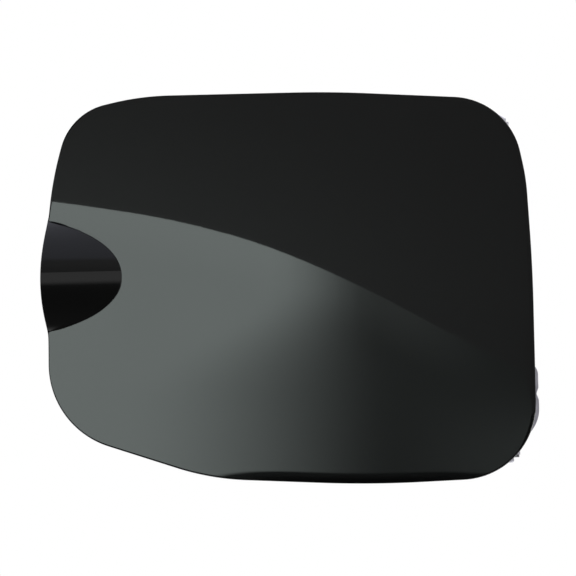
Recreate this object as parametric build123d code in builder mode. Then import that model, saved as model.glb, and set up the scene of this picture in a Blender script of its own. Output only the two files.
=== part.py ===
from build123d import *
from math import acos, asin, atan2, cos, degrees, hypot, pi, radians, sin, sqrt, tan
import os

os.makedirs("parts", exist_ok=True)

# Fuel filler door: a crowned, hemmed lid with a finger scoop, on a sprung hinge with a long rod.
# Sizes are in millimetres and degrees. Z runs up along the hinge rod, Y goes in towards the car
# body, and the origin is midway between the two bolts, on the back of the hinge bracket.

# Lid outline seen from outside: each corner's place, from the sides of the box or from the middle,
# and its rounding. The long edges bow, so each has a shallow corner of its own.
panel_width = 190.0
panel_height = 153.0
waist_in = 0.1
waist_drop = 40.9
waist_radius = 130.0
heel_in = 0.4
heel_rise = 22.1
heel_radius = 33.5
chin_x = -31.4
chin_rise = 2.0
chin_radius = 100.0
bottom_x = 31.0
bottom_bow = 0.25
bottom_radius = 450.0
lower_out = 1.0
lower_rise = 3.1
lower_radius = 29.4
right_in = 1.0
right_drop = 68.2
right_radius = 600.0
shoulder_in = 3.5
shoulder_drop = 33.8
shoulder_radius = 80.0
upper_in = 10.4
upper_drop = 2.9
upper_radius = 27.4
top_x = 15.0
top_bow = 0.05
top_radius = 450.0
brow_in = 36.1
brow_drop = 1.6
brow_radius = 106.0
nose_in = 8.6
nose_drop = 8.2
nose_radius = 23.2

# Crown of the outer skin, across and upright
crown_across = 3000.0
crown_upright = 1300.0

# Sheet metal and hem of the lid
skin = 0.9
inner_sheet = 0.8
hem_clearance = 0.05
hem_edge_gap = 0.2
hem_wall = 1.1
hem_width = 9.0
edge_round = 1.8
fold_round = 0.7

# Finger scoop: a trough cut by a tilted cylinder, with a lip that stands past the lid's edge
scoop_radius = 23.5
scoop_tilt = 31.0
scoop_z = 4.5
scoop_inset = 29.0
lip_reach = 3.9
lip_half_span = 23.0
lip_end_in = 0.6
scoop_clearance = 0.6

# Inner panel: a pan pressed into the sheet, with a ring bead, drain holes and buffer holes
pan_inset = 13.0
pan_draft = 30.0
pan_depth = 8.0
pan_right_in = 27.0
pan_right_drop = 2.0
pan_corner = 12.0
bead_x = -16.0
bead_length = 78.0
bead_height = 64.0
bead_corner = 18.0
bead_width = 9.0
bead_rise = 1.8
drain_radius = 4.0
drain_pitch_x = 34.0
drain_inset = 26.5

# Rubber buffers on the scoop side of the pan
buffer_inset = 35.0
buffer_upper_drop = 33.5
buffer_lower_rise = 39.5
buffer_radius = 6.5
buffer_height = 9.0
buffer_nose = 2.5
buffer_neck = 3.0
buffer_cap_radius = 4.6
buffer_cap_height = 2.6
buffer_fit = 0.1

# Hinge rod, which leans from the lid's own upright as the lid's right edge does
edge_lean = 2.0
rod_inset = 13.2
rod_offset = 10.0
rod_radius = 2.5
rod_fit = 0.03
rod_head_radius = 4.0
rod_head_height = 3.6
rod_head_edge = 1.4
rod_tail = 3.0
rod_chamfer = 0.5

# Hinge arms, rolled round the rod's bushes and riveted to the pan
arm_sheet = 2.0
arm_width = 20.0
arm_length = 58.0
arm_slit = 0.6
arm_foot_radius = 8.0
arm_foot_shift = 7.0
arm_rib_length = 16.0
arm_rib_width = 6.0
arm_rib_rise = 1.0
seat_gap = 0.05
bush_wall = 1.0
bush_flange = 1.5
bush_flange_radius = 5.2
bush_fit = 0.03
running_clearance = 0.05
end_float = 0.3
rivet_radius = 2.5
rivet_fit = 0.03
rivet_head_radius = 4.6
rivet_head_height = 1.9
rivet_tail_radius = 4.0
rivet_tail_height = 1.4
rivet_pitch = 17.0

# Hinge bracket: a plate with two folded ears, two bolt holes and a lobed lower corner
plate = 2.5
stand_off = 14.5
ear_inset = 14.0
ear_radius = 5.0
ear_root_left = -5.0
ear_root_right = 5.5
ear_root_depth = 1.0
bend_radius = 2.0
plate_left = -11.0
plate_left_corner = 6.0
plate_right = 19.0
plate_right_corner = 9.0
lobe_right = 22.9
lobe_corner = 14.0
lobe_top_rise = 28.5
lobe_slope = 6.0
lobe_round = 5.0
notch_rise = 19.5
notch_depth = 0.9
notch_half = 2.4
notch_round = 1.5
gauge_hole_radius = 1.1
gauge_hole_inset = 2.4
gauge_hole_rise = 13.0
bolt_radius = 3.3
bolt_spacing = 44.0

# Retaining clip in a groove at the rod's lower end
clip_sheet = 0.9
clip_radius = 4.6
clip_groove = 0.7
clip_fit = 0.05
clip_mouth = 3.0

# Torsion spring, hooked in front of the upper arm and let into the bracket
wire_radius = 0.8
coil_radius = 4.2
coil_whole_turns = 6
coil_pitch = 2.4
coil_gap = 3.4
hook_reach = 8.0
hook_length = 8.0
hook_bend = 2.0
leg_clearance = 0.35

# Worked-out sizes and places
half_width = panel_width / 2
half_height = panel_height / 2
hem_gap = inner_sheet + 2 * hem_clearance
rim = 2 * skin + hem_gap
flange_front = skin + hem_clearance
flange_inset = hem_wall + hem_edge_gap
bush_bore = rod_radius + running_clearance
eye_bore = bush_bore + bush_wall + bush_fit
eye_radius = eye_bore + arm_sheet
rod_depth = pan_depth + seat_gap + eye_radius
plate_depth = rod_depth + stand_off
deep = plate_depth + plate
rod_y = rod_depth - deep
ear_z = half_height - ear_inset
arm_outer_z = ear_z - end_float - bush_flange
arm_inner_z = arm_outer_z - arm_width
depth_dir = Vector(0, 1, 0)
lid_right = Vector(cos(radians(edge_lean)), 0, -sin(radians(edge_lean)))
lid_up = Vector(sin(radians(edge_lean)), 0, cos(radians(edge_lean)))
lid_origin = Vector(rod_offset, -deep, 0) - lid_right * (half_width - rod_inset)
lid_plane = Plane(origin=lid_origin, x_dir=lid_right, z_dir=-depth_dir)
rod_axis = Axis((rod_offset, rod_y, 0), (0, 0, 1))

outline_corners = [
    (-half_width + waist_in, half_height - waist_drop, waist_radius),
    (-half_width + heel_in, -half_height + heel_rise, heel_radius),
    (chin_x, -half_height + chin_rise, chin_radius),
    (bottom_x, -half_height - bottom_bow, bottom_radius),
    (half_width + lower_out, -half_height + lower_rise, lower_radius),
    (half_width - right_in, half_height - right_drop, right_radius),
    (half_width - shoulder_in, half_height - shoulder_drop, shoulder_radius),
    (half_width - upper_in, half_height - upper_drop, upper_radius),
    (top_x, half_height + top_bow, top_radius),
    (-half_width + brow_in, half_height - brow_drop, brow_radius),
    (-half_width + nose_in, half_height - nose_drop, nose_radius),
]


def lid_point(x, z, depth):
    """A place in the lid's own plane, at a depth behind the crown's highest point."""
    return lid_origin + lid_right * x + lid_up * z + depth_dir * depth


def turns(corners):
    """For each corner of a closed outline: its place, the ways back and ahead, and half its angle."""
    places = [Vector(x, z) for x, z, radius in corners]
    for before, place, after in zip(places[-1:] + places, places, places[1:] + places[:1]):
        back = (before - place).normalized()
        ahead = (after - place).normalized()
        yield place, back, ahead, radians(back.get_angle(ahead)) / 2


def inset_corners(corners, inset):
    """The corners moved in along their bisectors, so that every edge and arc moves in by the inset."""
    moved = []
    for (x, z, radius), (place, back, ahead, half_angle) in zip(corners, turns(corners)):
        place = place + (back + ahead).normalized() * (inset / sin(half_angle))
        moved.append((place.X, place.Y, radius - inset))
    return moved


def rounded_outline(plane, corners):
    """A closed outline of lines and tangent arcs through corners given as x, z and radius."""
    arcs = []
    for (x, z, radius), (place, back, ahead, half_angle) in zip(corners, turns(corners)):
        reach = radius / tan(half_angle)
        middle = place + (back + ahead).normalized() * (radius / sin(half_angle) - radius)
        arcs.append((place + back * reach, middle, place + ahead * reach))
    with BuildSketch(plane) as outline:
        with BuildLine():
            for (start, middle, end), following in zip(arcs, arcs[1:] + arcs[:1]):
                ThreePointArc(start, middle, end)
                Line(end, following[0])
        make_face()
    return outline.sketch


# The crown is an arc in the upright section, swept round an upright axis far behind the lid.
# Layers at other depths have the same centres, so every sheet keeps its thickness.
crown_sweep = degrees(asin(panel_width / crown_across))
crown_rise = degrees(asin(panel_height / crown_upright))
crown_origin = lid_origin + depth_dir * crown_across
crown_start = depth_dir.rotate(Axis((0, 0, 0), lid_up), -crown_sweep)
crown_plane = Plane(origin=crown_origin, x_dir=crown_start, z_dir=crown_start.cross(lid_up))
crown_axis = Axis(crown_origin, lid_up)


def crown_section(front, back):
    """The section of the layer between two depths behind the crowned face."""
    with BuildSketch(crown_plane) as section:
        with BuildLine():
            centre = (crown_upright - crown_across, 0)
            near = CenterArc(centre, crown_upright - front, 180 - crown_rise, 2 * crown_rise)
            far = CenterArc(centre, crown_upright - back, 180 - crown_rise, 2 * crown_rise)
            Line(near @ 0, far @ 0)
            Line(near @ 1, far @ 1)
        make_face()
    return section.sketch


def crowned_sheet(outline, front, back):
    """An outline drawn in front of the lid, carried in to the layer between two depths."""
    with BuildPart() as sheet:
        extrude(outline, amount=-3 * deep)
        revolve(crown_section(front, back), crown_axis, 2 * crown_sweep, mode=Mode.INTERSECT)
    return sheet.part


def lid_outline(inset=0.0):
    """The lid's outline, drawn inset in a plane well in front of the lid."""
    return rounded_outline(lid_plane.offset(deep), inset_corners(outline_corners, inset))


def crown_drop(x, z):
    """How far the crowned face falls back from its highest point at a place on the lid."""
    return x * x / (2 * crown_across) + z * z / (2 * crown_upright)


# Scoop: the trough's floor line leaves the face at the tip and goes back and left at the tilt
scoop_run = -lid_right * cos(radians(scoop_tilt)) + depth_dir * sin(radians(scoop_tilt))
scoop_tip_x = -half_width + scoop_inset
scoop_axis_x = scoop_tip_x - scoop_radius * sin(radians(scoop_tilt))
scoop_axis_depth = crown_drop(scoop_tip_x, scoop_z) - scoop_radius * cos(radians(scoop_tilt))
scoop_length = 4 * scoop_radius
scoop_start = lid_point(scoop_axis_x, scoop_z, scoop_axis_depth) - scoop_run * (scoop_length / 2)
scoop_plane = Plane(origin=scoop_start, x_dir=lid_up, z_dir=scoop_run)


def scoop_cylinder(radius):
    """The tilted cylinder of the scoop, at a radius of the trough's inside, outside or clearance."""
    with BuildPart() as cylinder:
        with BuildSketch(scoop_plane):
            Circle(radius)
        extrude(amount=scoop_length)
    return cylinder.part


scoop_inside = scoop_cylinder(scoop_radius)
scoop_outside = scoop_cylinder(scoop_radius + skin)
scoop_room = scoop_cylinder(scoop_radius + skin + scoop_clearance)

with BuildSketch(lid_plane.offset(deep)) as lip_plan:
    with BuildLine():
        lip_top = (-half_width + lip_end_in, scoop_z + lip_half_span)
        lip_bottom = (-half_width + lip_end_in, scoop_z - lip_half_span)
        ThreePointArc(lip_top, (-half_width - lip_reach, scoop_z), lip_bottom)
        Line(lip_bottom, (scoop_tip_x, lip_bottom[1]))
        Line((scoop_tip_x, lip_bottom[1]), (scoop_tip_x, lip_top[1]))
        Line((scoop_tip_x, lip_top[1]), lip_top)
    make_face()

face_zone = crowned_sheet(lid_outline(edge_round), 0, 2 * deep)
lip_zone = crowned_sheet(lip_plan.sketch, edge_round, 2 * deep)

with BuildPart() as scoop_trough:
    add(scoop_outside)
    add(face_zone + lip_zone, mode=Mode.INTERSECT)

hem_slot = crowned_sheet(lid_outline(hem_wall), skin, skin + hem_gap)
hem_opening = crowned_sheet(lid_outline(hem_width), skin, 2 * rim)
blank = crowned_sheet(lid_outline(), 0, rim)

with BuildPart() as outer_panel:
    add(blank)
    fillet(outer_panel.faces().filter_by(GeomType.TORUS).sort_by(Axis.Y)[0].edges(), radius=edge_round)
    fillet(outer_panel.faces().filter_by(GeomType.TORUS).sort_by(Axis.Y)[-1].edges(), radius=fold_round)
    add(hem_slot, mode=Mode.SUBTRACT)
    add(hem_opening, mode=Mode.SUBTRACT)
    add(scoop_trough.part)
    add(scoop_inside, mode=Mode.SUBTRACT)
outer_panel.part.label = "outer_panel"
export_step(outer_panel.part, "parts/outer_panel.step")


# The pan follows the lid's outline, inset, apart from its straight side beside the hinge
pan_corners = inset_corners(outline_corners, pan_inset)
pan_end_z = half_height - pan_inset - pan_right_drop
pan_right_x = half_width - pan_right_in
pan_corners[4:8] = [(pan_right_x, -pan_end_z, pan_corner), (pan_right_x, pan_end_z, pan_corner)]


def pan_outline(depth, inset):
    """The pan's outline, inset, in a plane at a depth behind the crown."""
    return rounded_outline(lid_plane.offset(-depth), inset_corners(pan_corners, inset))


# Arms run from the eye to a foot nearer the hinge's middle, and the rivets stand along that line
arm_foot = Vector(rod_offset - arm_length + arm_foot_radius, arm_outer_z - arm_width / 2 - arm_foot_shift)
arm_eye = Vector(rod_offset - eye_radius, arm_outer_z - arm_width / 2)
arm_line = (arm_eye - arm_foot).normalized()
rivet_places = [arm_foot, arm_foot + arm_line * rivet_pitch]
rivet_places += [Vector(place.X, -place.Y) for place in rivet_places]
buffer_x = -half_width + buffer_inset
buffer_places = [
    (buffer_x, half_height - buffer_upper_drop),
    (buffer_x, -half_height + buffer_lower_rise),
]
floor_y = pan_depth - deep
floor_plane = Plane.XZ.offset(-floor_y)
pan_slope = tan(radians(pan_draft))
pan_side = inner_sheet / cos(radians(pan_draft))
pan_inner_inset = (pan_depth - inner_sheet) * pan_slope + pan_side
flange = crowned_sheet(lid_outline(flange_inset), flange_front, flange_front + inner_sheet)
behind_skin = crowned_sheet(lid_outline(flange_inset), flange_front, 2 * deep)

with BuildPart() as pan:
    extrude(pan_outline(pan_depth, pan_depth * pan_slope), amount=pan_depth, taper=-pan_draft)
    add(behind_skin, mode=Mode.INTERSECT)

with BuildPart() as inner_panel:
    add(flange)
    add(pan.part)
    extrude(
        pan_outline(pan_depth - inner_sheet, pan_inner_inset),
        amount=pan_depth - inner_sheet,
        taper=-pan_draft,
        mode=Mode.SUBTRACT,
    )
    with BuildSketch(lid_plane.offset(-pan_depth)):
        with Locations((bead_x, 0)):
            RectangleRounded(bead_length, bead_height, bead_corner)
            offset(amount=-bead_width, mode=Mode.SUBTRACT)
    extrude(amount=-bead_rise)
    bead_rim = inner_panel.faces().filter_by(Axis.Y).sort_by(Axis.Y)[-1].edges()
    chamfer(bead_rim, length=bead_rise / 2)
    with BuildSketch(lid_plane.offset(-(pan_depth - inner_sheet))):
        with Locations((bead_x, 0)):
            RectangleRounded(bead_length - 2 * inner_sheet, bead_height - 2 * inner_sheet, bead_corner)
            offset(amount=2 * inner_sheet - bead_width, mode=Mode.SUBTRACT)
    extrude(amount=-bead_rise, mode=Mode.SUBTRACT)
    with BuildSketch(lid_plane):
        with Locations((bead_x, 0)):
            with GridLocations(drain_pitch_x, panel_height - 2 * drain_inset, 2, 2):
                Circle(drain_radius)
        with Locations(*buffer_places):
            Circle(buffer_neck + buffer_fit)
    extrude(amount=-deep, mode=Mode.SUBTRACT)
    with BuildSketch(floor_plane):
        with Locations(*[(place.X, place.Y) for place in rivet_places]):
            Circle(rivet_radius + rivet_fit)
    extrude(amount=pan_depth / 2, both=True, mode=Mode.SUBTRACT)
    add(scoop_room, mode=Mode.SUBTRACT)
inner_panel.part.label = "inner_panel"
export_step(inner_panel.part, "parts/inner_panel.step")

with BuildPart() as hinge_arm_upper:
    with BuildSketch(Plane.XY.offset(arm_inner_z - arm_foot_shift)):
        with Locations((rod_offset, rod_y)):
            Circle(eye_radius)
            Circle(eye_bore, mode=Mode.SUBTRACT)
        with Locations((rod_offset, rod_y - eye_radius)):
            Rectangle(arm_length, arm_sheet, align=(Align.MAX, Align.MIN))
        with Locations((rod_offset, rod_y - eye_bore)):
            Rectangle(eye_radius, arm_slit, align=(Align.MAX, Align.MIN), mode=Mode.SUBTRACT)
    extrude(amount=arm_width + arm_foot_shift)
    with BuildSketch(Plane.XZ):
        with Locations((arm_foot.X, arm_foot.Y)):
            Circle(arm_foot_radius)
        with Locations((rod_offset, arm_eye.Y)):
            Rectangle(2 * eye_radius, arm_width)
        make_hull()
    extrude(amount=deep, mode=Mode.INTERSECT)
    arm_turn = degrees(atan2(arm_line.Y, arm_line.X))
    rib_centre = (arm_foot + arm_line * rivet_pitch + arm_eye) * 0.5
    rib_plane = Plane.XZ.offset(deep - pan_depth - seat_gap - arm_sheet)
    with BuildSketch(rib_plane):
        with Locations(Location((rib_centre.X, rib_centre.Y), arm_turn)):
            SlotOverall(arm_rib_length, arm_rib_width)
    extrude(amount=-arm_rib_rise)
    with BuildSketch(floor_plane):
        with Locations(*[(place.X, place.Y) for place in rivet_places[:2]]):
            Circle(rivet_radius + rivet_fit)
    extrude(amount=-pan_depth / 2, mode=Mode.SUBTRACT)
hinge_arm_upper.part.label = "hinge_arm_upper"
export_step(hinge_arm_upper.part, "parts/hinge_arm_upper.step")

with BuildPart() as hinge_arm_lower:
    add(mirror(hinge_arm_upper.part, about=Plane.XY, mode=Mode.PRIVATE))
hinge_arm_lower.part.label = "hinge_arm_lower"
export_step(hinge_arm_lower.part, "parts/hinge_arm_lower.step")

with BuildPart() as arm_rivets:
    for place in rivet_places:
        rivet_seat = Vector(place.X, floor_y, place.Y)
        with BuildSketch(Plane(origin=rivet_seat, x_dir=(1, 0, 0), z_dir=(0, 0, 1))):
            with BuildLine():
                head_seat = seat_gap + arm_sheet
                tail_seat = -inner_sheet
                Polyline(
                    (0, head_seat + rivet_head_height),
                    (0, tail_seat - rivet_tail_height),
                    (rivet_tail_radius, tail_seat - rivet_tail_height),
                    (rivet_tail_radius, tail_seat),
                    (rivet_radius, tail_seat),
                    (rivet_radius, head_seat),
                    (rivet_head_radius, head_seat),
                )
                TangentArc((0, head_seat + rivet_head_height), (rivet_head_radius, head_seat), tangent=(1, 0))
            make_face()
        revolve(axis=Axis(rivet_seat, depth_dir))
arm_rivets.part.label = "arm_rivets"
export_step(arm_rivets.part, "parts/arm_rivets.step")

with BuildPart() as bush_upper:
    with BuildSketch(Plane.XY.offset(arm_inner_z)):
        with Locations((rod_offset, rod_y)):
            Circle(bush_bore + bush_wall)
    extrude(amount=arm_width)
    with BuildSketch(Plane.XY.offset(arm_outer_z)):
        with Locations((rod_offset, rod_y)):
            Circle(bush_flange_radius)
    extrude(amount=bush_flange)
    with BuildSketch(Plane.XY.offset(arm_inner_z)):
        with Locations((rod_offset, rod_y)):
            Circle(bush_bore)
    extrude(amount=arm_width + bush_flange, mode=Mode.SUBTRACT)
bush_upper.part.label = "bush_upper"
export_step(bush_upper.part, "parts/bush_upper.step")

with BuildPart() as bush_lower:
    add(mirror(bush_upper.part, about=Plane.XY, mode=Mode.PRIVATE))
bush_lower.part.label = "bush_lower"
export_step(bush_lower.part, "parts/bush_lower.step")

# Rod: a domed head on the upper ear, and a groove for the clip below the lower ear
rod_seat_z = ear_z + plate
rod_end_z = rod_seat_z + rod_tail
groove_top_z = rod_seat_z + clip_fit
groove_end_z = groove_top_z + clip_sheet + 2 * clip_fit
groove_radius = rod_radius - clip_groove

with BuildPart() as hinge_rod:
    with BuildSketch(Plane(origin=rod_axis.position, x_dir=(1, 0, 0), z_dir=-depth_dir)):
        with BuildLine():
            head_top = (0, rod_seat_z + rod_head_height)
            head_side = (rod_head_radius, rod_seat_z + rod_head_edge)
            Polyline(
                head_top,
                (0, -rod_end_z),
                (rod_radius - rod_chamfer, -rod_end_z),
                (rod_radius, -rod_end_z + rod_chamfer),
                (rod_radius, -groove_end_z),
                (groove_radius, -groove_end_z),
                (groove_radius, -groove_top_z),
                (rod_radius, -groove_top_z),
                (rod_radius, rod_seat_z),
                (rod_head_radius, rod_seat_z),
                head_side,
            )
            TangentArc(head_top, head_side, tangent=(1, 0))
        make_face()
    revolve(axis=rod_axis)
hinge_rod.part.label = "hinge_rod"
export_step(hinge_rod.part, "parts/hinge_rod.step")

with BuildPart() as rod_clip:
    with BuildSketch(Plane.XY.offset(-groove_top_z - clip_fit)):
        with Locations((rod_offset, rod_y)):
            Circle(clip_radius)
            Circle(groove_radius + clip_fit, mode=Mode.SUBTRACT)
            Rectangle(clip_mouth, clip_radius, align=(Align.CENTER, Align.MIN), mode=Mode.SUBTRACT)
    extrude(amount=-clip_sheet)
rod_clip.part.label = "rod_clip"
export_step(rod_clip.part, "parts/rod_clip.step")

# Spring: a left-hand coil on the rod. Its upper leg leaves on the line to the hook, which lies in
# front of the upper arm, and its lower leg goes straight back into a hole of the bracket.
hook_y = -(eye_radius + seat_gap + wire_radius)
hook_angle = degrees(atan2(hook_y, -hook_reach) + acos(coil_radius / hypot(hook_reach, hook_y)))
coil_turns = coil_whole_turns + (-hook_angle % 360) / 360
coil_top_z = arm_inner_z - coil_gap
coil_base_z = coil_top_z - coil_turns * coil_pitch
coil_rise = coil_pitch / (2 * pi * coil_radius)
leg_run = stand_off + plate / 2
leg_end = Vector(rod_offset + coil_radius, rod_y + leg_run, coil_base_z - coil_rise * leg_run)
hook_run = sqrt(hook_reach**2 + hook_y**2 - coil_radius**2)
hook_corner = Vector(rod_offset - hook_reach, rod_y + hook_y, coil_top_z + coil_rise * hook_run)

with BuildPart() as torsion_spring:
    with BuildLine(Plane(origin=(rod_offset, rod_y, coil_base_z))) as coil:
        Helix(coil_pitch, coil_turns * coil_pitch, coil_radius, lefthand=True)
    with BuildSketch(Plane(origin=coil.line @ 0, z_dir=coil.line % 0)):
        Circle(wire_radius)
    sweep(path=coil.line, is_frenet=True)
    with BuildLine() as leg:
        Line(coil.line @ 0, leg_end)
    with BuildSketch(Plane(origin=leg.line @ 0, z_dir=leg.line % 0)):
        Circle(wire_radius)
    sweep(path=leg.line)
    with BuildLine() as hook:
        FilletPolyline(coil.line @ 1, hook_corner, hook_corner + Vector(0, 0, hook_length), radius=hook_bend)
    with BuildSketch(Plane(origin=hook.line @ 0, z_dir=hook.line % 0)):
        Circle(wire_radius)
    sweep(path=hook.line)
torsion_spring.part.label = "torsion_spring"
export_step(torsion_spring.part, "parts/torsion_spring.step")

# Bracket: the plate's outline stops where the ears bend, and each ear is drawn round the rod
plate_end_z = ear_z - bend_radius
notch_z = -plate_end_z + notch_rise
lobe_top_z = -plate_end_z + lobe_top_rise
plate_corners = [
    (plate_left, plate_end_z, plate_left_corner),
    (plate_left, -plate_end_z, plate_left_corner),
    (lobe_right, -plate_end_z, lobe_corner),
    (lobe_right, notch_z - notch_half, notch_round),
    (lobe_right - notch_depth, notch_z, notch_round),
    (lobe_right, notch_z + notch_half, notch_round),
    (lobe_right, lobe_top_z, lobe_round),
    (plate_right, lobe_top_z + lobe_slope, lobe_round),
    (plate_right, plate_end_z, plate_right_corner),
]

with BuildPart() as hinge_bracket:
    extrude(rounded_outline(Plane.XZ, plate_corners), amount=plate)
    for side in (1, -1):
        with BuildSketch(Plane.YZ.offset(ear_root_left)):
            with BuildLine():
                bend_centre = (-plate - bend_radius, side * plate_end_z)
                inside = CenterArc(bend_centre, bend_radius, 0, side * 90)
                outside = CenterArc(bend_centre, bend_radius + plate, 0, side * 90)
                Line(inside @ 0, outside @ 0)
                Line(inside @ 1, outside @ 1)
            make_face()
        extrude(amount=ear_root_right - ear_root_left)
        with BuildSketch(Plane.XY.offset(side * ear_z)):
            with Locations((ear_root_left, -plate - bend_radius)):
                Rectangle(ear_root_right - ear_root_left, ear_root_depth, align=(Align.MIN, Align.MAX))
            with Locations((rod_offset, rod_y)):
                Circle(ear_radius)
            make_hull()
        extrude(amount=side * plate)
    with BuildSketch(Plane.XY):
        with Locations((rod_offset, rod_y)):
            Circle(rod_radius + rod_fit)
    extrude(amount=rod_end_z, both=True, mode=Mode.SUBTRACT)
    with BuildSketch(Plane.XZ):
        with GridLocations(0, bolt_spacing, 1, 2):
            Circle(bolt_radius)
        with Locations((lobe_right - gauge_hole_inset, -plate_end_z + gauge_hole_rise)):
            Circle(gauge_hole_radius)
        with Locations((leg_end.X, leg_end.Z)):
            Circle(wire_radius + leg_clearance)
    extrude(amount=plate, mode=Mode.SUBTRACT)
hinge_bracket.part.label = "hinge_bracket"
export_step(hinge_bracket.part, "parts/hinge_bracket.step")


def rubber_buffer(x, z):
    """A buffer pushed into the pan: its cap in front of the sheet, its body and nose behind."""
    seat = lid_point(x, z, pan_depth)
    with BuildPart() as buffer:
        with BuildSketch(Plane(origin=seat, x_dir=lid_right, z_dir=lid_up)):
            with BuildLine():
                cap_seat = -inner_sheet - buffer_fit
                Polyline(
                    (0, buffer_height),
                    (0, cap_seat - buffer_cap_height),
                    (buffer_neck, cap_seat - buffer_cap_height),
                    (buffer_cap_radius, cap_seat),
                    (buffer_neck, cap_seat),
                    (buffer_neck, buffer_fit),
                    (buffer_radius, buffer_fit),
                    (buffer_radius, buffer_height - buffer_nose),
                )
                TangentArc((0, buffer_height), (buffer_radius, buffer_height - buffer_nose), tangent=(1, 0))
            make_face()
        revolve(axis=Axis(seat, depth_dir))
    return buffer.part


for buffer_name, place in zip(("buffer_upper", "buffer_lower"), buffer_places):
    buffer = rubber_buffer(*place)
    buffer.label = buffer_name
    export_step(buffer, f"parts/{buffer_name}.step")
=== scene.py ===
import math

import bpy
import numpy as np
from mathutils import Matrix, Vector


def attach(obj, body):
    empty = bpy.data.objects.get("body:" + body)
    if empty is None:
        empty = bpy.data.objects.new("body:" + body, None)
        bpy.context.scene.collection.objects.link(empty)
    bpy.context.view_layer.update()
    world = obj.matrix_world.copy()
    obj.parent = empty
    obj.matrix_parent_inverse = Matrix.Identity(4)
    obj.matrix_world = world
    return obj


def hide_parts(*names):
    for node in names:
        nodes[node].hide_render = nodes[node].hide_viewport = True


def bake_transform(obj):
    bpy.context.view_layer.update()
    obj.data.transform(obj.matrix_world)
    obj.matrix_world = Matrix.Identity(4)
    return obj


# Fuel filler door: a painted lid, hemmed over a pressed pan, on a sprung side hinge. Lengths are
# in metres, apart from names that end in Mm.
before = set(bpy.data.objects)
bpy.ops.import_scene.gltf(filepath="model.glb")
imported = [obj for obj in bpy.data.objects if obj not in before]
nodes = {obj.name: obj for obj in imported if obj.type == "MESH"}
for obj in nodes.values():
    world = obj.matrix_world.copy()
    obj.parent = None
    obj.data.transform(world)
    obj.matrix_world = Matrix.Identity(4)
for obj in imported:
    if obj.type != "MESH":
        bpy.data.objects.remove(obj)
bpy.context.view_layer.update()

# The lid leans a little against the hinge rod, so it has axes of its own:
# x to the right and z up along its face, and depth going in behind the crown's highest point.
lid = {
    "top": (-0.0717502, -0.03063, 0.0028548),  # where the crown is highest, m
    "lean": math.radians(2.0),
}
lidTop = np.array(lid["top"])
lidRight = np.array([math.cos(lid["lean"]), 0.0, -math.sin(lid["lean"])])
lidUp = np.array([math.sin(lid["lean"]), 0.0, math.cos(lid["lean"])])
lidIn = np.array([0.0, 1.0, 0.0])


# a place given in the lid's axes, turned into the shared frame's x, y and z
def lidPlace(x, z, depth):
    x, z, depth = np.broadcast_arrays(x, z, depth)
    return lidTop + x[..., None] * lidRight + z[..., None] * lidUp + depth[..., None] * lidIn


# a direction given in the lid's axes, made one unit long
def lidDirection(x, z, depth):
    way = lidPlace(x, z, depth) - lidTop
    return way / np.linalg.norm(way, axis=-1, keepdims=True)


# 0 up to the first value, 1 from the second on, and an S-shaped rise between; a first value that
# is the larger one turns the step round
def easeStep(low, high, value):
    share = np.clip((value - low) / (high - low), 0.0, 1.0)
    return share * share * (3.0 - 2.0 * share)


# the larger of two surfaces, with the corner between them rounded over a short width
def softMax(a, b, width):
    return 0.5 * (a + b + np.sqrt((a - b) ** 2 + width * width))


# quads of a grid of rows by columns; the columns close on themselves if the grid goes all round
def gridFaces(rows, columns, closed):
    across = np.arange(columns if closed else columns - 1)
    after = (across + 1) % columns
    down = np.arange(rows - 1)[:, None] * columns
    below = down + columns
    return np.stack([down + across, down + after, below + after, below + across], -1).reshape(-1, 4)


# mesh object from whole arrays; a vertex with no normal of its own keeps the smooth one
def makePiece(name, points, faces, material, normals=None):
    mesh = bpy.data.meshes.new(name)
    mesh.from_pydata(points.reshape(-1, 3), [], faces)
    mesh.polygons.foreach_set("use_smooth", np.ones(len(mesh.polygons), bool))
    mesh.materials.append(material)
    if normals is not None:
        mesh.normals_split_custom_set_from_vertices(normals.reshape(-1, 3))
    mesh.update()
    piece = bpy.data.objects.new(name, mesh)
    bpy.context.scene.collection.objects.link(piece)
    return piece


# sRGB hex to the linear colour that sockets take
def hexColour(text):
    value = np.array([int(text[i:i + 2], 16) for i in (1, 3, 5)]) / 255.0
    linear = np.where(value <= 0.04045, value / 12.92, ((value + 0.055) / 1.055) ** 2.4)
    return (*linear, 1.0)


# one node with its settings, and links into it given as socket name to output socket
def addNode(tree, kind, settings=None, inputs=None, links=None):
    node = tree.nodes.new(kind)
    for key, value in (settings or {}).items():
        setattr(node, key, value)
    for key, value in (inputs or {}).items():
        node.inputs[key].default_value = value
    for key, source in (links or {}).items():
        tree.links.new(source, node.inputs[key])
    return node


# material with its shader, output and Object coordinates, and the shader's plain settings
def newMaterial(name, settings):
    material = bpy.data.materials.new(name)
    material.use_nodes = True
    tree = material.node_tree
    tree.nodes.clear()
    coords = addNode(tree, "ShaderNodeTexCoord").outputs["Object"]
    shader = addNode(tree, "ShaderNodeBsdfPrincipled", inputs=settings)
    addNode(tree, "ShaderNodeOutputMaterial", links={"Surface": shader.outputs[0]})
    return material, tree, coords, shader


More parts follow.
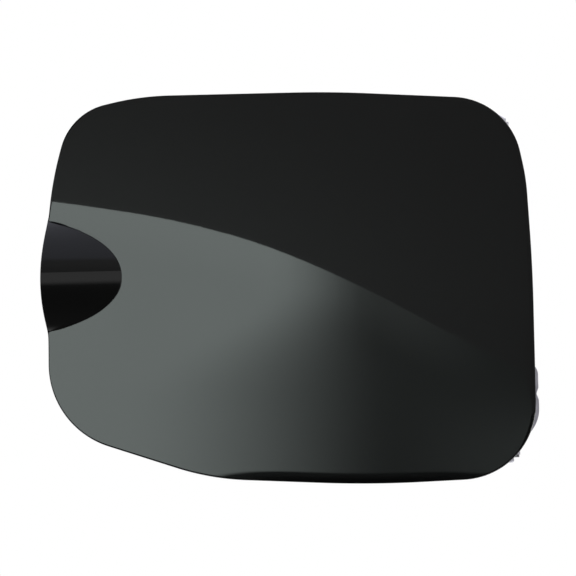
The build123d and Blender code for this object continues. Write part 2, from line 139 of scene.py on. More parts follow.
# A finish with patterns: coarse clouds move its colour and its roughness between two values each,
# and a fine grain, where it has one, raises the surface by a small height.
def patternedFinish(name, finish):
    material, tree, coords, shader = newMaterial(name, finish["shader"])
    cloud = addNode(
        tree,
        "ShaderNodeTexNoise",
        inputs={"Scale": 1000.0 / finish["cloudMm"], "Detail": finish["cloudDetail"]},
        links={"Vector": coords},
    )
    tint = addNode(
        tree,
        "ShaderNodeMix",
        {"data_type": "RGBA"},
        {6: hexColour(finish["shades"][0]), 7: hexColour(finish["shades"][1])},
        {0: cloud.outputs["Fac"]},
    )
    sheen = addNode(
        tree,
        "ShaderNodeMapRange",
        inputs={"To Min": finish["rough"][0], "To Max": finish["rough"][1]},
        links={"Value": cloud.outputs["Fac"]},
    )
    tree.links.new(tint.outputs[2], shader.inputs["Base Color"])
    tree.links.new(sheen.outputs[0], shader.inputs["Roughness"])
    if "grainMm" in finish:
        grain = addNode(
            tree,
            "ShaderNodeTexNoise",
            inputs={"Scale": 1000.0 / finish["grainMm"], "Detail": finish["grainDetail"]},
            links={"Vector": coords},
        )
        raised = addNode(
            tree,
            "ShaderNodeBump",
            inputs={"Strength": finish["grainStrength"], "Distance": finish["grainHeightMm"] / 1000.0},
            links={"Height": grain.outputs["Fac"]},
        )
        tree.links.new(raised.outputs[0], shader.inputs["Normal"])
    return material


# Gloss black body paint: solid colour under a sprayed clear coat, baked and not polished flat.
# The eye gets near-black with sharp reflections that waver a little with the orange peel.
bodyPaint = {
    "shader": {
        "Base Color": hexColour("#040404"),
        "IOR": 1.5,
        "Specular IOR Level": 0.15,
        "Coat Weight": 1.0,
        "Coat Roughness": 0.012,
        "Coat IOR": 1.5,
    },
    "peelMm": 3.2,
    "peelDetail": 1.0,
    "peelHeightMm": 0.0004,
    "wipeMm": 38.0,  # faint haze left by wiping
    "wipeDetail": 3.0,
    "rough": (0.26, 0.4),
}
paint, tree, coords, shader = newMaterial("glossBlackBodyPaint", bodyPaint["shader"])
peel = addNode(
    tree,
    "ShaderNodeTexNoise",
    inputs={"Scale": 1000.0 / bodyPaint["peelMm"], "Detail": bodyPaint["peelDetail"]},
    links={"Vector": coords},
)
wipe = addNode(
    tree,
    "ShaderNodeTexNoise",
    inputs={"Scale": 1000.0 / bodyPaint["wipeMm"], "Detail": bodyPaint["wipeDetail"]},
    links={"Vector": coords},
)
haze = addNode(
    tree,
    "ShaderNodeMapRange",
    inputs={"To Min": bodyPaint["rough"][0], "To Max": bodyPaint["rough"][1]},
    links={"Value": wipe.outputs["Fac"]},
)
skinBump = addNode(
    tree,
    "ShaderNodeBump",
    inputs={"Strength": 1.0, "Distance": bodyPaint["peelHeightMm"] / 1000.0},
    links={"Height": peel.outputs["Fac"]},
)
tree.links.new(haze.outputs[0], shader.inputs["Roughness"])
tree.links.new(skinBump.outputs[0], shader.inputs["Normal"])
tree.links.new(skinBump.outputs[0], shader.inputs["Coat Normal"])

# Electro-coated primer on pressed steel: a thin dipped film, satin, a shade greyer than the paint.
primerCoat = {
    "shader": {"IOR": 1.5},
    "shades": ("#141515", "#202222"),
    "rough": (0.32, 0.48),
    "cloudMm": 24.0,
    "cloudDetail": 4.0,
    "grainMm": 0.7,
    "grainDetail": 2.0,
    "grainStrength": 0.25,
    "grainHeightMm": 0.06,
}
primer = patternedFinish("dippedBlackPrimer", primerCoat)

# Zinc plate with clear passivation on punched and folded steel: soft metal sheen, faint lilac
# clouds from the bath, and fine scuffs from the barrel that it was tumbled in.
zincPlate = {
    "shader": {"Metallic": 0.45},  # the film scatters much of the light
    "shades": ("#93929e", "#d2d0d8"),
    "rough": (0.2, 0.5),
    "cloudMm": 5.0,
    "cloudDetail": 5.0,
    "grainMm": 0.5,
    "grainDetail": 3.0,
    "grainStrength": 0.3,
    "grainHeightMm": 0.04,
}
zinc = patternedFinish("passivatedZincPlate", zincPlate)

# Oiled spring steel, drawn to wire or stamped: darker grey with streaks from the die.
springSteel = {
    "shader": {"Metallic": 1.0},
    "shades": ("#5d5e62", "#8b8c8f"),
    "rough": (0.24, 0.4),
    "cloudMm": 0.9,
    "cloudDetail": 4.0,
}
steel = patternedFinish("drawnSpringSteel", springSteel)

# Natural nylon, moulded: cream, slightly milky, with a fine spark-eroded mould texture.
nylonBush = {
    "shader": {"IOR": 1.53},
    "shades": ("#c2bba8", "#d5cfbf"),
    "rough": (0.46, 0.46),
    "cloudMm": 5.0,
    "cloudDetail": 2.0,
    "grainMm": 0.35,
    "grainDetail": 2.0,
    "grainStrength": 0.3,
    "grainHeightMm": 0.03,
}
nylon = patternedFinish("mouldedNaturalNylon", nylonBush)

# EPDM rubber, compression moulded: matt charcoal with bloom in patches and a pitted skin.
rubberPad = {
    "shader": {"IOR": 1.52},
    "shades": ("#131313", "#242423"),
    "rough": (0.6, 0.82),
    "cloudMm": 4.0,
    "cloudDetail": 4.0,
    "grainMm": 0.5,
    "grainDetail": 2.0,
    "grainStrength": 0.4,
    "grainHeightMm": 0.08,
}
rubber = patternedFinish("mouldedBlackRubber", rubberPad)

finishes = {
    "inner_panel": primer,
    "hinge_arm_upper": zinc,
    "hinge_arm_lower": zinc,
    "arm_rivets": zinc,
    "hinge_bracket": zinc,
    "hinge_rod": zinc,
    "rod_clip": steel,
    "bush_upper": nylon,
    "bush_lower": nylon,
    "buffer_upper": rubber,
    "buffer_lower": rubber,
}
for name, material in finishes.items():
    nodes[name].data.materials.clear()
    nodes[name].data.materials.append(material)
print("finishes:", len(finishes), "frame nodes dressed")

# Outer panel, with all places in the lid's axes
panel = {
    # corners of the outline, anticlockwise from the left edge: x, z and rounding
    "corners": [
        (-0.0949, 0.0356, 0.130),
        (-0.0946, -0.0544, 0.0335),
        (-0.0314, -0.0745, 0.100),
        (0.0310, -0.07675, 0.450),
        (0.0960, -0.0734, 0.0294),
        (0.0940, 0.0083, 0.600),
        (0.0915, 0.0427, 0.080),
        (0.0846, 0.0736, 0.0274),
        (0.0150, 0.07655, 0.450),
        (-0.0589, 0.0749, 0.106),
        (-0.0864, 0.0683, 0.0232),
    ],
    "crownAcross": 3.0,  # radii of the crowned face
    "crownUpright": 1.3,
    "skin": 0.0009,
    "rim": 0.0027,  # skin, inner sheet and turned-back skin, with a little room
    "edgeRound": 0.0005,
    "foldRound": 0.0007,
    "edgeFall": 0.0005,  # how far the face leans back before it rolls over
    "fallWidth": 0.0055,
    "fallFacing": (0.7, 0.98),  # how squarely the edge has to look down for that
    "fallStart": (-0.045, 0.002),  # x where the fall sets in along the lower edge
    "fallStop": (0.085, 0.04),  # and where it is gone again
    "fallRight": 0.2,  # share of the fall along the right edge
    "fallRightFacing": (0.3, 0.9),
    "hemWidth": 0.009,
    "hemMiddle": 0.0048,
    "hemWall": 0.0011,  # from the outline to the inside of the fold
    "cutRound": 0.0002,  # rounding of the hem's cut edge
    "scoopRadius": 0.0235,
    "scoopTilt": math.radians(31.0),
    "scoopZ": 0.0045,
    "scoopTipX": -0.066,
    "creaseRound": 0.00015,
    "creaseReach": 0.04,  # the crease is looked for this far in
    "creaseLeast": 0.004,  # the row that follows the crease stays this far in elsewhere
    "besideCrease": (0.0002, 0.0005, 0.001, 0.0018, 0.003, 0.005, 0.008),
    "lipTipX": -0.09885,
    "lipRadius": 0.0610,
    "lipBlend": 0.0006,
    "lipNearX": (-0.06, -0.08),  # where the lip takes over from the plain left edge
    "lipNearZ": (0.042, 0.03),
    "lipDrop": (0.0002, 0.003),  # drop of the trough at the edge, from hem to open lip
    "lipRound": 0.00012,
    "lipBack": (0.00014, 0.0016),  # insets of the rows behind the lip
    "coarseStep": 0.0015,  # spacing round the outline, and beside the scoop
    "fineStep": 0.0004,
    "fineNearX": (-0.08, -0.09),
    "fineNearZ": (0.04, 0.03),
    "insetBand": 0.012,  # how far in the rows follow the outline before they run to the middle
    "arcSteps": 400,  # points on each corner's arc, and then evenly round the whole outline
    "outlineSteps": 12000,
    "tangentReach": 3,  # points to either side that give the outline's direction
    "probeSteps": 400,
    "rollRows": 9,  # rows over the rolled edge, on to the crease, and on to the middle
    "bandRows": 24,
    "bandCrowding": 1.4,  # above 1, these rows crowd towards the crease
    "innerRows": 12,
    "foldRows": 5,
    "cutRows": 7,
}


# depth of the crowned face: a ring surface, an upright arc swept round an upright axis far behind
def crownDepth(x, z):
    across, upright = panel["crownAcross"], panel["crownUpright"]
    reach = across - upright + np.sqrt(upright**2 - z**2)
    return across - np.sqrt(reach**2 - x**2)


# depth of the scoop's trough: the far wall of a cylinder whose axis runs back and to the left
def scoopDepth(x, z):
    radius, tilt = panel["scoopRadius"], panel["scoopTilt"]
    tipDepth = crownDepth(panel["scoopTipX"], panel["scoopZ"])
    fromTip = (panel["scoopTipX"] - x) * math.tan(tilt)
    side = np.minimum(np.abs(z - panel["scoopZ"]), 0.999 * radius)
    return tipDepth + fromTip - (radius - np.sqrt(radius**2 - side**2)) / math.cos(tilt)


# depth of the painted face: the deeper of crown and trough, with the crease between them rounded
def faceDepth(x, z):
    return softMax(crownDepth(x, z), scoopDepth(x, z), panel["creaseRound"])


# slopes of the painted face along the lid's two axes, from its depth a short step to either side
def faceSlopes(x, z):
    step = 1e-5
    slopeX = (faceDepth(x + step, z) - faceDepth(x - step, z)) / (2 * step)
    slopeZ = (faceDepth(x, z + step) - faceDepth(x, z - step)) / (2 * step)
    return slopeX, slopeZ


# outline as a fine closed line: each corner's arc, tangent to the runs beside it, then the scoop's
# lip, a long arc that stands past the left edge and blends into it
def panelOutline():
    corners = np.array(panel["corners"])
    places, radius = corners[:, :2], corners[:, 2:]
    back = np.roll(places, 1, 0) - places
    ahead = np.roll(places, -1, 0) - places
    back /= np.linalg.norm(back, axis=1, keepdims=True)
    ahead /= np.linalg.norm(ahead, axis=1, keepdims=True)
    half = np.arccos(np.sum(back * ahead, 1, keepdims=True)) / 2
    bisector = (back + ahead) / np.linalg.norm(back + ahead, axis=1, keepdims=True)
    centre = places + bisector * radius / np.sin(half)
    swing = np.linspace(-1, 1, panel["arcSteps"]) * (math.pi / 2 - half)
    along = np.stack([bisector[:, 1], -bisector[:, 0]], 1)[:, None]
    arcs = centre[:, None] + radius[:, None] * (
        -bisector[:, None] * np.cos(swing)[..., None] + along * np.sin(swing)[..., None]
    )
    line = arcs.reshape(-1, 2)
    line = np.vstack([line, line[:1]])
    length = np.concatenate([[0], np.cumsum(np.linalg.norm(np.diff(line, axis=0), axis=1))])
    even = np.linspace(0, length[-1], panel["outlineSteps"], endpoint=False)
    x, z = np.interp(even, length, line[:, 0]), np.interp(even, length, line[:, 1])
    lipRadius = panel["lipRadius"]
    fromScoop = np.clip(z - panel["scoopZ"], -lipRadius, lipRadius)
    lip = panel["lipTipX"] + lipRadius - np.sqrt(lipRadius**2 - fromScoop**2)
    near = easeStep(*panel["lipNearX"], x) * easeStep(*panel["lipNearZ"], np.abs(fromScoop))
    x = x + near * (-softMax(-x, -lip, panel["lipBlend"]) - x)
    return x, z


# stations along the outline, closer together beside the scoop, with their outward directions
def outlineStations():
    x, z = panelOutline()
    run = np.hypot(np.roll(x, -1) - x, np.roll(z, -1) - z)
    fromScoop = np.abs(z - panel["scoopZ"])
    fine = easeStep(*panel["fineNearX"], x) * easeStep(*panel["fineNearZ"], fromScoop)
    pace = run / (panel["coarseStep"] + (panel["fineStep"] - panel["coarseStep"]) * fine)
    passed = np.concatenate([[0], np.cumsum(pace)])
    stops = np.linspace(0, passed[-1], int(passed[-1]), endpoint=False)
    turn = np.arange(len(passed))
    at = np.interp(stops, passed, turn)
    beside = panel["tangentReach"]
    tangentX = np.roll(x, -beside) - np.roll(x, beside)
    tangentZ = np.roll(z, -beside) - np.roll(z, beside)
    size = np.hypot(tangentX, tangentZ)
    ring = [np.append(a, a[0]) for a in (x, z, tangentZ / size, -tangentX / size)]
    return [np.interp(at, turn, a) for a in ring]


outX, outZ, outwardX, outwardZ = outlineStations()
stations = len(outX)
bandX = outX - outwardX * panel["insetBand"]
bandZ = outZ - outwardZ * panel["insetBand"]
middleRun = np.hypot(bandX, bandZ)  # from the edge band on to the middle
fullInset = panel["insetBand"] + middleRun


# plan place at a distance in from the outline: square to it in the edge band, then to the middle
def planPlace(inset):
    band = panel["insetBand"]
    nearX = outX - outwardX * np.minimum(inset, band)
    nearZ = outZ - outwardZ * np.minimum(inset, band)
    remaining = 1.0 - np.maximum(inset - band, 0.0) / middleRun
    return nearX * remaining, nearZ * remaining


# where the crease of the scoop lies on each station's way in
probe = np.linspace(0, panel["creaseReach"], panel["probeSteps"])[:, None]
probeX, probeZ = planPlace(probe)
inScoop = scoopDepth(probeX, probeZ) > crownDepth(probeX, probeZ)
crease = np.where(inScoop, probe, 0).max(0)
creaseRow = np.maximum(crease, panel["creaseLeast"])
lipDrop = scoopDepth(outX, outZ) - crownDepth(outX, outZ)
lipShare = easeStep(*panel["lipDrop"], lipDrop)  # 0 on the hem, 1 where the trough runs out

# the face leans back before the middle of the lower edge, a little at the right, not elsewhere
middleBelow = easeStep(*panel["fallFacing"], -outwardZ)
middleBelow *= easeStep(*panel["fallStart"], outX) ** 2 * easeStep(*panel["fallStop"], outX)
atRight = panel["fallRight"] * easeStep(*panel["fallRightFacing"], outwardX)
edgeFall = panel["edgeFall"] * np.maximum(middleBelow, atRight)

# rows of the painted face, from the rolled edge in to the middle, as inset and extra depth
roll = np.linspace(0, math.pi / 2, panel["rollRows"])[:, None]
edgeInset = panel["edgeRound"] * (1 - np.cos(roll))
edgeDrop = (panel["edgeRound"] - edgeFall) * (1 - np.sin(roll))
slide = 1 - (1 - np.linspace(0, 1, panel["bandRows"])[1:, None]) ** panel["bandCrowding"]
bandInset = panel["edgeRound"] + (creaseRow - panel["edgeRound"]) * slide
besideInset = creaseRow + np.array(panel["besideCrease"])[:, None]
inward = np.linspace(0, 1, panel["innerRows"])[1:-1, None]
innerInset = besideInset[-1] + (fullInset - besideInset[-1]) * inward
ones = np.ones(stations)
faceInset = np.vstack([edgeInset * ones, bandInset, besideInset, innerInset])
falling = np.maximum(1 - faceInset / panel["fallWidth"], 0) * (1 - lipShare)
faceDrop = edgeFall * falling**3
faceDrop[: len(roll)] += edgeDrop * (1 - lipShare)
faceX, faceZ = planPlace(faceInset)
face = lidPlace(faceX, faceZ, faceDepth(faceX, faceZ) + faceDrop)

# directions that the face looks in; the rolled edge keeps its smooth ones, except at the lip
slopeX, slopeZ = faceSlopes(faceX, faceZ)
lean = 3 * edgeFall / panel["fallWidth"] * falling**2  # slope of the fall
slopeX, slopeZ = slopeX + lean * outwardX, slopeZ + lean * outwardZ
faceOut = lidDirection(slopeX, slopeZ, -np.ones_like(slopeX))
faceOut[: len(roll)] = np.where(lipShare[:, None] > 0.999, faceOut[: len(roll)], 0)

# hem: out over the fold, in along the back, round its cut edge and out again to the fold's inside
fold = np.linspace(0, math.pi / 2, panel["foldRows"])
skin, rim, wall, hemEnd = panel["skin"], panel["rim"], panel["hemWall"], panel["hemWidth"]
trim = panel["cutRound"]
under = rim - skin  # depth of the turned-back skin's inner side
hemInset = np.concatenate([
    panel["foldRound"] * (1 - np.cos(fold)),
    [panel["hemMiddle"], hemEnd - trim, hemEnd, hemEnd, hemEnd - trim],
    [wall + trim, wall, wall, wall + trim],
])[:, None]
hemDepth = np.concatenate([
    rim - panel["foldRound"] * (1 - np.sin(fold)),
    [rim, rim, rim - trim, under + trim, under],
    [under, under - trim, skin + trim, skin],
])[:, None]
hemX, hemZ = planPlace(hemInset * ones)
hem = lidPlace(hemX, hemZ, crownDepth(hemX, hemZ) + hemDepth)


# back of the skin: the face moved in along its own direction by part of the sheet's thickness
def behindFace(inset, thickness):
    x, z = planPlace(inset)
    slopeX, slopeZ = faceSlopes(x, z)
    out = lidDirection(slopeX, slopeZ, -np.ones_like(slopeX))
    return lidPlace(x, z, faceDepth(x, z)) - out * np.broadcast_to(thickness, x.shape)[..., None]


# lip: the trough's cut edge, then a short way in along its back
cut = np.linspace(0, math.pi, panel["cutRows"])[1:-1]
backRows = len(hemInset) - len(cut)
lipInset = np.append(panel["lipRound"] * (1 - np.sin(cut)), np.linspace(*panel["lipBack"], backRows))
lipThick = np.append(0.5 * skin * (1 - np.cos(cut)), np.full(backRows, skin))
lip = behindFace(lipInset[:, None] * ones, lipThick[:, None])
turnback = hem + (lip - hem) * lipShare[:, None]

# back of the skin in to the middle, behind the same rows as the face
backInset = np.vstack([bandInset[1::2], besideInset[::2], innerInset[::2]])
back = behindFace(backInset, skin)

# all rows as one closed grid, from the middle of the face round the edge to the middle of the back
rows = np.concatenate([face[::-1], turnback, back])
pole = lidPlace(0.0, 0.0, 0.0)
backPole = lidPlace(0.0, 0.0, skin)
points = np.concatenate([pole[None], rows.reshape(-1, 3), backPole[None]])
ring = np.arange(stations)
after = (ring + 1) % stations
last = 1 + (len(rows) - 1) * stations
faces = (gridFaces(len(rows), stations, True) + 1)[:, ::-1].tolist()
faces += np.stack([np.zeros_like(ring), ring + 1, after + 1], 1).tolist()
faces += np.stack([np.full_like(ring, len(points) - 1), last + after, last + ring], 1).tolist()
normals = np.zeros_like(points)
normals[0] = -lidIn
normals[1:1 + face.size // 3] = faceOut[::-1].reshape(-1, 3)
outerPanel = makePiece("outerPanel", points, faces, paint, normals)
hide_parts("outer_panel")
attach(outerPanel, "lid")
print("outer panel:", stations, "stations,", len(rows), "rows")

# Torsion spring: a left-hand coil on the rod, a leg back into the bracket and a hook on the arm
spring = {
    "axis": (0.010, -0.017),
    "wire": 0.0008,  # radius, as is the coil's
    "coil": 0.0042,
    "turns": 6.2094,
    "pitch": 0.0024,
    "topZ": 0.0373,
    "legRun": 0.01575,
    "hookAt": (-0.008, -0.00643),  # from the rod's axis
    "hookLength": 0.008,
    "hookBend": 0.002,
    "sides": 16,
    "coilSteps": 420,  # points along the coil, and along the other runs of the wire
    "legSteps": 24,
    "straightSteps": 12,
    "bendSteps": 10,
    "hookSteps": 8,
    "endRings": 5,
    "endTip": 0.02,  # the wire's ends close to this share of its radius
    "endDome": 0.4,  # and stand out by this share
    "neverAlong": (0.6, -0.5, 0.62),  # a direction that no part of the wire follows
}
baseZ = spring["topZ"] - spring["turns"] * spring["pitch"]


# the wire's centre line: leg, helix, straight to the hook, a bend and the hook's upright end
def springLine():
    coil, bendRun = spring["coil"], spring["hookBend"]
    rise = spring["pitch"] / (2 * math.pi * coil)
    angle = np.linspace(0, -2 * math.pi * spring["turns"], spring["coilSteps"])
    helix = np.stack([coil * np.cos(angle), coil * np.sin(angle), baseZ - angle * coil * rise], 1)
    run = np.linspace(spring["legRun"], 0, spring["legSteps"])[:-1]
    leg = helix[0] + np.stack([np.zeros_like(run), run, -rise * run], 1)
    flat = math.hypot(spring["hookAt"][0] - helix[-1, 0], spring["hookAt"][1] - helix[-1, 1])
    corner = np.array([*spring["hookAt"], spring["topZ"] + rise * flat])
    toCorner = (corner - helix[-1]) / np.linalg.norm(corner - helix[-1])
    upright = np.array([0.0, 0.0, 1.0])
    bendStart = corner - toCorner * bendRun
    onward = np.linspace(0, 1, spring["straightSteps"])[1:-1, None]
    straight = helix[-1] + onward * (bendStart - helix[-1])
    share = np.linspace(0, 1, spring["bendSteps"])[:, None]
    bend = bendStart + bendRun * ((2 * share - share**2) * toCorner + share**2 * upright)
    upward = np.linspace(bendRun, spring["hookLength"], spring["hookSteps"])[1:, None]
    line = np.concatenate([leg, helix, straight, bend, corner + upright * upward])
    return line + np.array([*spring["axis"], 0.0])


# a round section carried along the line, square to it, with domed ends drawn to a point
def wireTube(line, radius, sides):
    way = np.gradient(line, axis=0)
    way /= np.linalg.norm(way, axis=1, keepdims=True)
    aside = np.cross(way, np.array(spring["neverAlong"]))
    aside /= np.linalg.norm(aside, axis=1, keepdims=True)
    over = np.cross(way, aside)
    swing = np.linspace(0, 2 * math.pi, sides, endpoint=False)[:, None]
    circle = (np.cos(swing) * aside[:, None] + np.sin(swing) * over[:, None]) * radius
    tube = line[:, None] + circle
    dome = np.linspace(0, math.pi / 2, spring["endRings"])[1:, None, None]
    narrow = np.maximum(np.cos(dome), spring["endTip"])
    bulge = spring["endDome"] * radius * np.sin(dome)
    start = line[0] + narrow * circle[0] - bulge * way[0]
    stop = line[-1] + narrow * circle[-1] + bulge * way[-1]
    return np.concatenate([start[::-1], tube, stop])


wire = wireTube(springLine(), spring["wire"], spring["sides"])
wireFaces = gridFaces(len(wire), spring["sides"], True).tolist()
section = np.arange(spring["sides"])
wireFaces += [section.tolist(), ((len(wire) - 1) * spring["sides"] + section)[::-1].tolist()]
springPiece = makePiece("torsionSpring", wire, wireFaces, steel)
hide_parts("torsion_spring")
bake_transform(springPiece)
print("torsion spring:", len(wire), "rings")

# Black rubber plug in the bracket's gauge hole, a painted shade: a dark piece set where the hole shows
# only shade. It is a short round bar with a low dome in front, drawn as rings from the dome's tip over
# the rim to the middle of the back
shadePlug = {
    "centre": (0.0205, -0.0475),
    "front": -0.0023,
    "back": -0.0004,
    "radius": 0.00107,
    "dome": 0.0003,
    "tip": 0.02,  # the middle closes at this share of the radius
    "sides": 32,
    "domeRings": 7,
}
swing = np.linspace(0, 2 * math.pi, shadePlug["sides"], endpoint=False)
share = np.sin(np.linspace(0, math.pi / 2, shadePlug["domeRings"]))[:, None]
reach = shadePlug["radius"] * np.concatenate([np.maximum(share, shadePlug["tip"]), [[1.0], [shadePlug["tip"]]]])
domeY = shadePlug["front"] - shadePlug["dome"] * np.sqrt(1 - share**2)
shadePlugX = shadePlug["centre"][0] + reach * np.cos(swing)
shadePlugY = np.concatenate([domeY, [[shadePlug["back"]], [shadePlug["back"]]]])
shadePlugZ = shadePlug["centre"][1] + reach * np.sin(swing)
shadePlugPoints = np.stack(np.broadcast_arrays(shadePlugX, shadePlugY, shadePlugZ), -1)
shadePlugFaces = gridFaces(len(reach), shadePlug["sides"], True).tolist()
section = np.arange(shadePlug["sides"])
shadePlugFaces += [section[::-1].tolist(), ((len(reach) - 1) * shadePlug["sides"] + section).tolist()]
# painted shade: this dark plug fills the gauge hole, where only the hole's shade shows
shadePlugPiece = makePiece("holeShadePlug", shadePlugPoints, shadePlugFaces, rubber)
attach(shadePlugPiece, "bracket")
print("gauge hole plug:", len(reach), "rings")

# Camera: a long lens a little to the right and below, turned so that the lid stands upright
view = {
    "centre": (-0.00125, -0.0002),  # lid place in the middle of the picture
    "distance": 5.0,
    "turn": math.radians(1.6),
    "rise": math.radians(-2.2),
    "frame": 0.2244,  # width of the picture at the lid
    "sensorMm": 36.0,
}
target = lidPlace(*view["centre"], 0.0)
toCamera = lidDirection(
    math.sin(view["turn"]) * math.cos(view["rise"]),
    math.sin(view["rise"]),
    -math.cos(view["turn"]) * math.cos(view["rise"]),
)
cameraData = bpy.data.cameras.new("photoCamera")
cameraData.sensor_width = view["sensorMm"]
cameraData.lens = view["sensorMm"] * view["distance"] / view["frame"]
camera = bpy.data.objects.new("photoCamera", cameraData)
sideways = np.cross(lidUp, toCamera)
sideways /= np.linalg.norm(sideways)
pose = np.eye(4)
pose[:3, 0], pose[:3, 1], pose[:3, 2] = sideways, np.cross(toCamera, sideways), toCamera
pose[:3, 3] = target + toCamera * view["distance"]
camera.matrix_world = Matrix(pose.tolist())
bpy.context.scene.collection.objects.link(camera)
bpy.context.scene.camera = camera
print("camera:", view["distance"], "m away")

# Softbox in front. The lid mirrors it in its lower left half, so its sizes are those of its mirror
# image on the lid: the upper edge is a long curve, and the light fades out to the right.
softbox = {
    "away": 1.1,
    "left": -0.5,
    "right": 0.125,
    "low": -0.1,
    "lowFade": (-0.097, -0.079),
    "edge": [66.92, 3.706, -2.0044, -0.3953, 0.0125],  # z of the upper edge as a quartic in x
    "edgeFrom": -0.095,
    "grid": (60, 90),  # rows and columns
    "strength": 2.85,
    "fadeTurn": (-0.045, 0.002),  # z from where the fade goes over to that of the upper edge
    "fadeAt": (-0.0141, 0.0121),  # x in the middle of the fade, below and at the upper edge
    "fadeWidth": (0.11, 0.04),
    "rest": 0.15,  # what is left past the fade
    "edgeRest": 0.24,  # a little more of it along the upper edge
    "edgeRestBand": (0.022, 0.0),
    "edgeRestStop": (0.085, 0.03),
    "cornerRest": 0.22,  # and in the lower right corner
    "cornerRestX": (0.035, 0.09),
    "cornerRestZ": (-0.03, -0.07),
    "cloth": "#f2fffb",
}


# card place that a spot of the lid mirrors: the crown tips the mirror, and the camera stands aside
def mirroredPlace(x, z):
    away, far = softbox["away"], view["distance"]
    stretchX = 1 + away / far + 2 * away / panel["crownAcross"]
    stretchZ = 1 + away / far + 2 * away / panel["crownUpright"]
    cardX = x * stretchX - away * math.sin(view["turn"])
    cardZ = z * stretchZ - away * math.sin(view["rise"])
    return lidPlace(cardX, cardZ, -away)


# brightness of the cloth: full at the left, an S-shaped fade to the right, and what is left past it
def softboxGlow(x, z, top):
    upper = easeStep(*softbox["fadeTurn"], z)
    (lowAt, highAt), (lowWidth, highWidth) = softbox["fadeAt"], softbox["fadeWidth"]
    fadeAt = lowAt + (highAt - lowAt) * upper
    fadeWidth = lowWidth + (highWidth - lowWidth) * upper
    edge = easeStep(*softbox["edgeRestBand"], top - z) * easeStep(*softbox["edgeRestStop"], x)
    corner = easeStep(*softbox["cornerRestX"], x) * easeStep(*softbox["cornerRestZ"], z)
    rest = softbox["rest"] + softbox["edgeRest"] * edge + softbox["cornerRest"] * corner
    glow = softbox["strength"] * easeStep(0.5, -0.5, (x - fadeAt) / fadeWidth) + rest
    return glow * easeStep(*softbox["lowFade"], z)


boxRows, boxColumns = softbox["grid"]
boxX = np.linspace(softbox["left"], softbox["right"], boxColumns)[None]
boxTop = np.polyval(softbox["edge"], np.maximum(boxX, softbox["edgeFrom"]))
boxZ = softbox["low"] + (boxTop - softbox["low"]) * np.linspace(0, 1, boxRows)[:, None]
boxX = boxX + np.zeros_like(boxZ)
boxMaterial = bpy.data.materials.new("softboxCloth")
boxMaterial.use_nodes = True
tree = boxMaterial.node_tree
tree.nodes.clear()
glow = addNode(tree, "ShaderNodeAttribute", {"attribute_name": "glow"})
cloth = addNode(
    tree,
    "ShaderNodeEmission",
    inputs={"Color": hexColour(softbox["cloth"])},
    links={"Strength": glow.outputs["Fac"]},
)
addNode(tree, "ShaderNodeOutputMaterial", links={"Surface": cloth.outputs[0]})
boxFaces = gridFaces(boxRows, boxColumns, False)
softboxCloth = makePiece("softbox", mirroredPlace(boxX, boxZ), boxFaces, boxMaterial)
shine = softboxGlow(boxX, boxZ, boxTop).astype(np.float32).ravel()
softboxCloth.data.attributes.new("glow", "FLOAT", "POINT").data.foreach_set("value", shine)
softboxCloth.visible_camera = False
print("softbox:", boxRows, "by", boxColumns)

# Table: a pale floor well below the lid, black felt in front, which the rolled lower edge mirrors,
# and a grey card at the left, which the scoop mirrors. Each is a level rectangle.
table = {
    "floor": {"x": (-3.0, 3.0), "y": (-3.0, 3.0), "z": -0.24, "colour": "#f4f4f4", "lift": 0.8},
    "felt": {"x": (-0.3, 1.6), "y": (-3.0, -0.035), "z": -0.235, "colour": "#0a0a0a"},
    "greyCard": {
        "x": (-3.0, -0.18),
        "y": (-3.0, 1.0),
        "z": -0.238,
        "shades": ("#6a6a6a", "#84868f"),
        "shadeTurn": (-0.74, -0.62),  # x over which the first shade goes over to the second
    },
}
matt = {"Roughness": 0.95, "Specular IOR Level": 0.0}


# a level rectangle from its settings: four corners, anticlockwise seen from above
def levelCard(name, card, material):
    (left, right), (near, far) = card["x"], card["y"]
    corners = [(left, near), (right, near), (right, far), (left, far)]
    points = np.array([(x, y, card["z"]) for x, y in corners])
    return makePiece(name, points, [[0, 1, 2, 3]], material)


# painted floor, lifted to white for the camera only
floorMaterial, tree, coords, shader = newMaterial("paleFloor", {
    "Base Color": hexColour(table["floor"]["colour"]),
    "Roughness": 0.7,
    "Emission Color": (1.0, 1.0, 1.0, 1.0),
})
lift = addNode(
    tree,
    "ShaderNodeMath",
    {"operation": "MULTIPLY"},
    {1: table["floor"]["lift"]},
    {0: addNode(tree, "ShaderNodeLightPath").outputs["Is Camera Ray"]},
)
tree.links.new(lift.outputs[0], shader.inputs["Emission Strength"])
floor = levelCard("floor", table["floor"], floorMaterial)

feltMaterial = newMaterial("blackFelt", {"Base Color": hexColour(table["felt"]["colour"]), **matt})[0]
felt = levelCard("felt", table["felt"], feltMaterial)

# matt grey card, lighter and bluer towards the lid
greyMaterial, tree, coords, shader = newMaterial("greyCard", matt)
cardAxes = addNode(tree, "ShaderNodeSeparateXYZ", links={"Vector": coords})
turnFrom, turnTo = table["greyCard"]["shadeTurn"]
nearLid = addNode(
    tree,
    "ShaderNodeMapRange",
    inputs={"From Min": turnFrom, "From Max": turnTo},
    links={"Value": cardAxes.outputs["X"]},
)
farShade, nearShade = table["greyCard"]["shades"]
cardTint = addNode(
    tree,
    "ShaderNodeMix",
    {"data_type": "RGBA"},
    {6: hexColour(farShade), 7: hexColour(nearShade)},
    {0: nearLid.outputs[0]},
)
tree.links.new(cardTint.outputs[2], shader.inputs["Base Color"])
greyCard = levelCard("greyCard", table["greyCard"], greyMaterial)
for card in (felt, greyCard):
    card.visible_camera = False
    card.visible_shadow = False
print("table:", len(table), "cards")

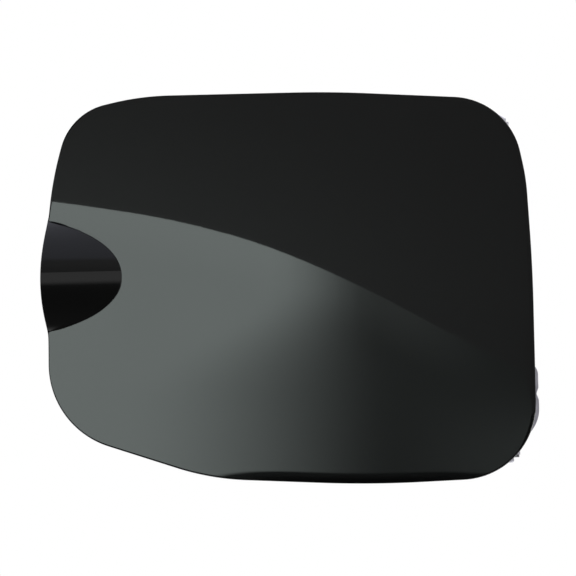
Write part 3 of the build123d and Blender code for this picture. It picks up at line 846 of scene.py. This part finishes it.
# Soft lamps behind, above and low at the right, for the hinge side: place, size and power
lamps = {
    "overBack": ((0.35, 0.9, 0.7), 0.7, 2.5),
    "highBack": ((0.3, 1.3, 0.6), 0.7, 3.0),
    "overFront": ((0.3, -0.6, 1.2), 0.7, 22.0),
    "rightLow": ((0.45, -0.12, -0.19), 0.14, 0.8),
}
for name, (place, size, power) in lamps.items():
    data = bpy.data.lights.new(name, "AREA")
    data.size, data.energy = size, power
    lamp = bpy.data.objects.new(name, data)
    lamp.location = place
    lamp.rotation_euler = (Vector(lidTop) - Vector(place)).to_track_quat("-Z", "Y").to_euler()
    lamp.visible_camera = False
    lamp.visible_glossy = name != "overFront"  # the upper edge would mirror that one
    bpy.context.scene.collection.objects.link(lamp)

# Studio: white all round for the camera, plain light for colour, and a dim room for reflections.
# The room brightens behind the lid, and at the left it goes over to a wall that is dark higher up.
studio = {
    "plain": 0.75,
    "white": 1.0,
    # axis, where the change begins and ends, and the value before and after it
    "changes": {
        "room": ("Y", (0.4, 0.9), (0.14, 0.3)),
        "left": ("X", (-0.15, -0.3), (0.0, 1.0)),
        "wall": ("Z", (0.15, 0.3), (0.45, 0.02)),
    },
}
world = bpy.data.worlds.new("studio")
world.use_nodes = True
tree = world.node_tree
tree.nodes.clear()
ray = addNode(tree, "ShaderNodeLightPath")
around = addNode(tree, "ShaderNodeTexCoord")
way = addNode(tree, "ShaderNodeSeparateXYZ", links={"Vector": around.outputs["Generated"]})
changes = {}
for part, (axis, (begin, end), (before, past)) in studio["changes"].items():
    change = addNode(
        tree,
        "ShaderNodeMapRange",
        {"interpolation_type": "SMOOTHSTEP"},
        {"From Min": begin, "From Max": end, "To Min": before, "To Max": past},
        {"Value": way.outputs[axis]},
    )
    changes[part] = change.outputs[0]
room = addNode(
    tree,
    "ShaderNodeMix",
    {"data_type": "FLOAT"},
    links={0: changes["left"], 2: changes["room"], 3: changes["wall"]},
)
mirrored = addNode(
    tree,
    "ShaderNodeMath",
    {"operation": "MAXIMUM"},
    links={0: ray.outputs["Is Glossy Ray"], 1: ray.outputs["Is Transmission Ray"]},
)
dim = addNode(
    tree,
    "ShaderNodeMix",
    {"data_type": "FLOAT"},
    {2: studio["plain"]},
    {0: mirrored.outputs[0], 3: room.outputs[0]},
)
shown = addNode(
    tree,
    "ShaderNodeMix",
    {"data_type": "FLOAT"},
    {3: studio["white"]},
    {0: ray.outputs["Is Camera Ray"], 2: dim.outputs[0]},
)
sky = addNode(
    tree,
    "ShaderNodeBackground",
    inputs={"Color": (1.0, 1.0, 1.0, 1.0)},
    links={"Strength": shown.outputs[0]},
)
addNode(tree, "ShaderNodeOutputWorld", links={"Surface": sky.outputs[0]})
bpy.context.scene.world = world
print("studio:", len(lamps), "lamps")

bpy.context.scene.view_settings.view_transform = "Standard"
